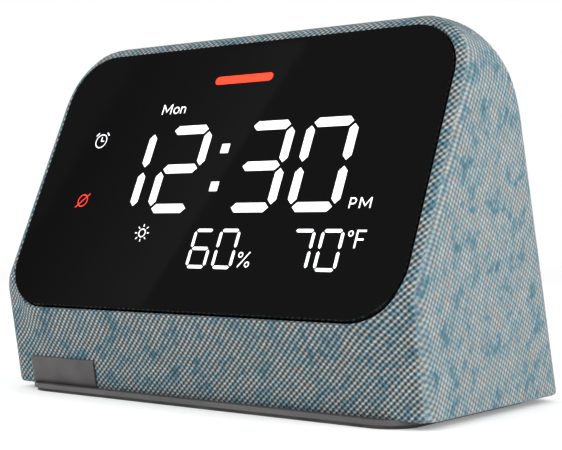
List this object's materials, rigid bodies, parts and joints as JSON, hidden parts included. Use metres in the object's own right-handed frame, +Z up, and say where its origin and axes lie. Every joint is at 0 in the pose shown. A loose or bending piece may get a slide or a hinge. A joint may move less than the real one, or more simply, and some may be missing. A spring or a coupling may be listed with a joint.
{
  "type": "smart display",
  "caption": "Wedge-shaped bedside smart clock with a flat glass display, fabric cover, ridge buttons, rear speaker and port panel.",
  "frame": {"origin": "centre of the footprint of the bounding box, at table height", "axes": "+X to the right seen from the front, +Y towards the back, +Z up; the display faces -Y and leans back"},
  "size_m": [0.12, 0.0664, 0.0856],
  "materials": {
    "knit_fabric": "knitted melange cover",
    "shell_plastic": "satin",
    "base_plastic": "matte",
    "tag_plastic": "fine matte",
    "foot_rubber": "matte",
    "black_glass": "polished black cover glass",
    "frame_plastic": "matte",
    "lit_white": "lit",
    "lit_red": "lit",
    "diffuser": "frosted",
    "reflector_plastic": "matte white",
    "board_laminate": "solder mask",
    "led_body": "moulded",
    "screw_steel": "zinc plated",
    "button_rubber": "fine matte",
    "switch_metal": "stamped",
    "mic_metal": "gold plated",
    "jack_plastic": "matte",
    "plated_contact": "nickel plated",
    "tongue_plastic": "matte",
    "knob_plastic": "satin",
    "gasket_foam": "foam",
    "basket_plastic": "matte",
    "surround_rubber": "satin",
    "cone_paper": "pressed pulp",
    "coil_copper": "enamelled winding",
    "magnet_ferrite": "sintered",
    "yoke_steel": "zinc plated",
    "shield_tin": "tin plated",
    "chip_epoxy": "moulded",
    "antenna_film": "copper on film",
    "cable_film": "polyimide film",
    "wire_sheath": "smooth"
  },
  "bodies": {
    "case": {"fabric_sleeve": "knit_fabric", "housing": "shell_plastic", "base_plate": "base_plastic", "rubber_foot": "foot_rubber", "label_tag": "tag_plastic", "display_lens": "black_glass", "display_frame": "frame_plastic", "diffuser_sheet": "diffuser", "segment_reflector": "reflector_plastic", "display_board": "board_laminate", "segment_leds": "led_body", "frame_screws": "screw_steel", "light_bar": "lit_red", "hour_tens": "lit_white", "hour_units": "lit_white", "time_colon": "lit_white", "minute_tens": "lit_white", "minute_units": "lit_white", "pm_mark": "lit_white", "day_mark": "lit_white", "alarm_icon": "lit_white", "mute_icon": "lit_red", "weather_icon": "lit_white", "humidity_digits": "lit_white", "percent_sign": "lit_white", "temperature_digits": "lit_white", "degree_unit": "lit_white", "button_board": "board_laminate", "tact_switches": "switch_metal", "microphones": "mic_metal", "port_panel": "shell_plastic", "dc_jack": "jack_plastic", "dc_jack_pin": "plated_contact", "usb_socket": "plated_contact", "usb_tongue": "tongue_plastic", "mute_switch": "switch_metal", "speaker_gasket": "gasket_foam", "speaker_basket": "basket_plastic", "speaker_surround": "surround_rubber", "speaker_magnet": "magnet_ferrite", "speaker_yoke": "yoke_steel", "speaker_chamber": "shell_plastic", "speaker_screws": "screw_steel", "main_board": "board_laminate", "shield_can": "shield_tin", "board_parts": "chip_epoxy", "antenna": "antenna_film", "flat_cables": "cable_film", "speaker_wires": "wire_sheath", "board_screws": "screw_steel", "base_screws": "screw_steel"},
    "volume_down": {"volume_down_button": "button_rubber"},
    "play": {"play_button": "button_rubber"},
    "alarm": {"alarm_button": "button_rubber"},
    "volume_up": {"volume_up_button": "button_rubber"},
    "mute": {"mute_knob": "knob_plastic"},
    "cone": {"speaker_cone": "cone_paper", "voice_coil": "coil_copper", "dust_cap": "cone_paper"}
  },
  "joints": [
    {"name": "volume_down_press", "type": "slide", "parent": "case", "child": "volume_down", "axis": [0, -0.6691, -0.7431], "range_m": [0, 0.0004], "stiffness_N_per_m": 3000},
    {"name": "play_press", "type": "slide", "parent": "case", "child": "play", "axis": [0, -0.6691, -0.7431], "range_m": [0, 0.0004], "stiffness_N_per_m": 3000},
    {"name": "alarm_press", "type": "slide", "parent": "case", "child": "alarm", "axis": [0, -0.6691, -0.7431], "range_m": [0, 0.0004], "stiffness_N_per_m": 3000},
    {"name": "volume_up_press", "type": "slide", "parent": "case", "child": "volume_up", "axis": [0, -0.6691, -0.7431], "range_m": [0, 0.0004], "stiffness_N_per_m": 3000},
    {"name": "mute_slide", "type": "slide", "parent": "case", "child": "mute", "axis": [1, 0, 0], "range_m": [0, 0.002]},
    {"name": "cone_travel", "type": "slide", "parent": "case", "child": "cone", "axis": [0, 0.9272, 0.3746], "range_m": [-0.0005, 0.0005], "stiffness_N_per_m": 1500}
  ]
}
